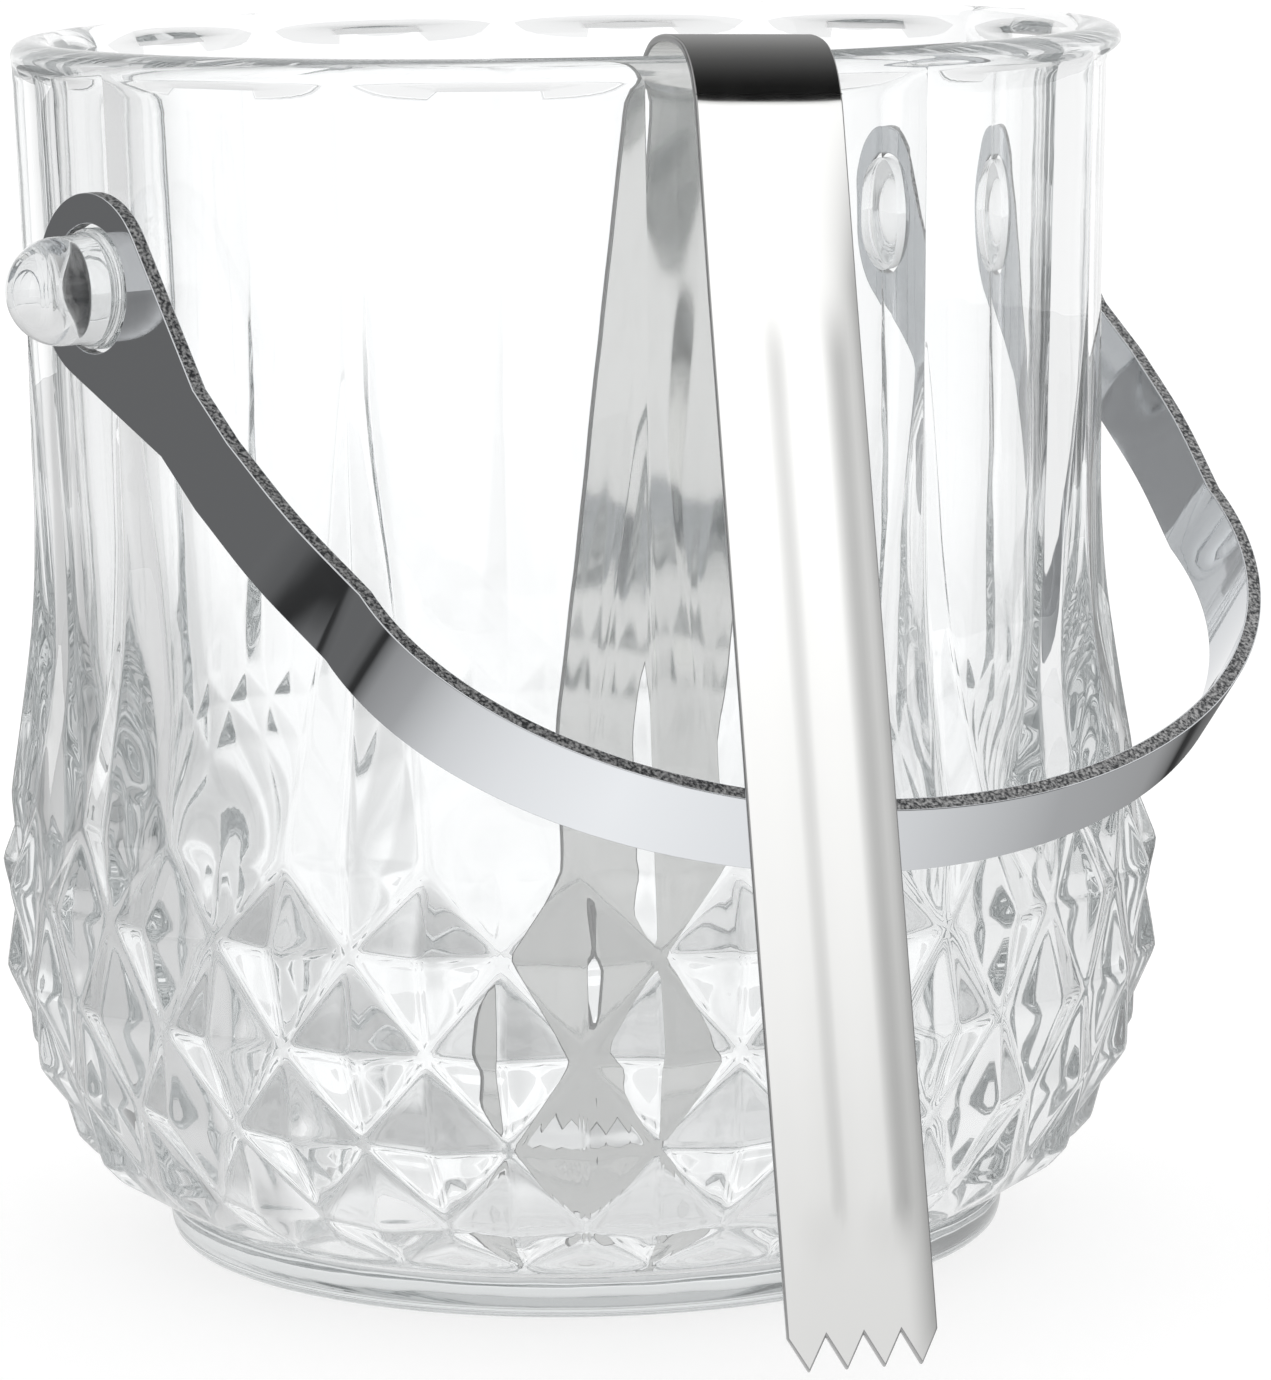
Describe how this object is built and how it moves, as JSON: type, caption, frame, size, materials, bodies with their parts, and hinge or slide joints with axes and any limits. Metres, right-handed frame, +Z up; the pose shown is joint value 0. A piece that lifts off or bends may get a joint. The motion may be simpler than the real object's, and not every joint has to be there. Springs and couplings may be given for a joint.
{
  "type": "ice bucket",
  "caption": "Pressed clear-glass ice bucket with diamond-cut belly, flat-panelled wall, swinging steel strap bail on moulded studs, and steel ice tongs hung on the rim.",
  "frame": {"origin": "centre of the foot's flat underside, on the surface the bucket stands on", "axes": "+Z up, X along the axis through the two studs, the bail hangs towards -Y and the tongs hang on that side"},
  "size_m": [0.1508, 0.164, 0.1415],
  "materials": {
    "glass": "fire-polished clear pressed glass",
    "bail_steel": "mirror-polished stainless strip with sheared edges",
    "tongs_steel": "bright polished spring steel strip"
  },
  "bodies": {
    "bucket": {"glass_bucket": "glass"},
    "bail": {"bail_handle": "bail_steel"},
    "tongs": {"tongs_bow": "tongs_steel"},
    "outer_leg": {"tongs_outer_leg": "tongs_steel"},
    "inner_leg": {"tongs_inner_leg": "tongs_steel"}
  },
  "joints": [
    {"name": "bail_swing", "type": "hinge", "parent": "bucket", "child": "bail", "pos_m": [0, 0, 0.1141], "axis": [-1, 0, 0], "range_deg": [0, 259.4], "deforming": ["tongs_outer_leg"]},
    {"name": "tongs_lift", "type": "slide", "parent": "bucket", "child": "tongs", "axis": [0, 0, 1], "range_m": [0, 0.15]},
    {"name": "outer_leg_flex", "type": "hinge", "parent": "tongs", "child": "outer_leg", "pos_m": [-0.02149, -0.06242, 0.13523], "axis": [0.945, -0.3254, -0.0332], "range_deg": [-2, 4.5], "stiffness_Nm_per_rad": 1.5},
    {"name": "inner_leg_flex", "type": "hinge", "parent": "tongs", "child": "inner_leg", "pos_m": [-0.01575, -0.04574, 0.13523], "axis": [-0.945, 0.3254, 0.0332], "range_deg": [-2, 4.5], "stiffness_Nm_per_rad": 1.5}
  ],
  "couplings": [
    {"joint": "inner_leg_flex", "follows": "outer_leg_flex", "ratio": 1}
  ]
}
